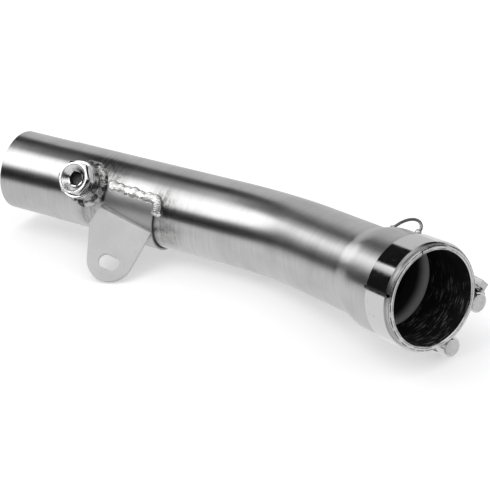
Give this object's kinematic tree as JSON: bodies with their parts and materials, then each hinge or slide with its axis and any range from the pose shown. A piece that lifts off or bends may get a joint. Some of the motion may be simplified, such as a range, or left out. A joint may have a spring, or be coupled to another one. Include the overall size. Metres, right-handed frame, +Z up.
{
  "type": "motorcycle exhaust link pipe",
  "caption": "Bent steel link pipe with sized slip end, slotted socket with gasket sleeve and band clamp, plugged sensor boss, welded hanger bracket and spring hook.",
  "frame": {"origin": "centre of the footprint, on the floor the pipe rests on", "axes": "X runs along the length, from the plain inlet end to the slotted socket; the side with the bracket and the sensor boss faces -Y; Z is up"},
  "size_m": [0.3464, 0.1236, 0.0738],
  "materials": {
    "tube_steel": "satin",
    "polished_steel": "polished",
    "plate_steel": "matte",
    "weld_metal": "satin",
    "dark_sleeve": "matte",
    "dark_wire": "satin"
  },
  "bodies": {
    "root": {"main_tube": "tube_steel", "gasket_sleeve": "dark_sleeve", "clamp_band": "polished_steel", "barrel_plain": "plate_steel", "barrel_threaded": "plate_steel", "clamp_screw": "polished_steel", "sensor_boss": "plate_steel", "boss_weld": "weld_metal", "plug_washer": "polished_steel", "sensor_plug": "polished_steel", "bracket_saddle": "plate_steel", "bracket_tab": "plate_steel", "saddle_weld": "weld_metal", "saddle_weld_low": "weld_metal", "tab_weld": "weld_metal", "spring_hook": "dark_wire", "hook_welds": "weld_metal"}
  },
  "joints": []
}
